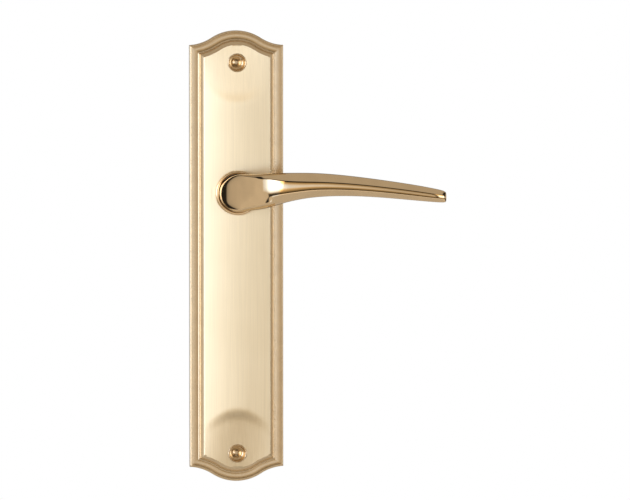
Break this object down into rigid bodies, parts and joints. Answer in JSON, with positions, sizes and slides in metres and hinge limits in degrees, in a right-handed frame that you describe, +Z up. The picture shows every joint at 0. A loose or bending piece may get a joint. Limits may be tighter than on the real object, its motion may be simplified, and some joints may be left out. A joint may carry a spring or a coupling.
{
  "type": "lever door handle on backplate",
  "caption": "Swan-neck lever handle on a long arched backplate for one side of a door, with a sprung neck bearing, a square spindle and screws in recessed cups.",
  "frame": {"origin": "the spindle axis on the plane of the door's face", "axes": "+Z up the door, +X along the lever, +Y into the door"},
  "size_m": [0.1327, 0.1182, 0.24],
  "materials": {
    "satin_brass": "forged brass, brushed vertically, lacquered",
    "polished_brass": "polished and lacquered brass",
    "turned_brass": "turned brass, unpolished",
    "zinc_plated_steel": "pressed steel, zinc plated",
    "spring_steel": "oiled spring steel",
    "bright_steel": "drawn steel bar",
    "black_steel": "black oxide steel",
    "white_nylon": "moulded nylon"
  },
  "bodies": {
    "plate": {"face_plate": "satin_brass", "screw_cups": "polished_brass", "fixing_screws": "polished_brass", "neck_collar": "polished_brass", "neck_bush": "white_nylon", "collar_lock_ring": "spring_steel", "spring_housing": "zinc_plated_steel", "return_spring": "spring_steel", "housing_cover": "zinc_plated_steel", "stop_pins": "bright_steel", "housing_pillars": "turned_brass", "housing_screws": "zinc_plated_steel", "thrust_washer": "white_nylon"},
    "lever": {"lever_handle": "polished_brass", "spindle": "bright_steel", "grub_screw": "black_steel", "drive_cam": "zinc_plated_steel", "disc_spring": "spring_steel", "retaining_ring": "spring_steel"}
  },
  "joints": [
    {"name": "lever_turn", "type": "hinge", "parent": "plate", "child": "lever", "pos_m": [0, 0, 0], "axis": [0, 1, 0], "range_deg": [0, 40], "stiffness_Nm_per_rad": 0.1, "springref_deg": -60.16, "deforming": ["return_spring"]}
  ]
}
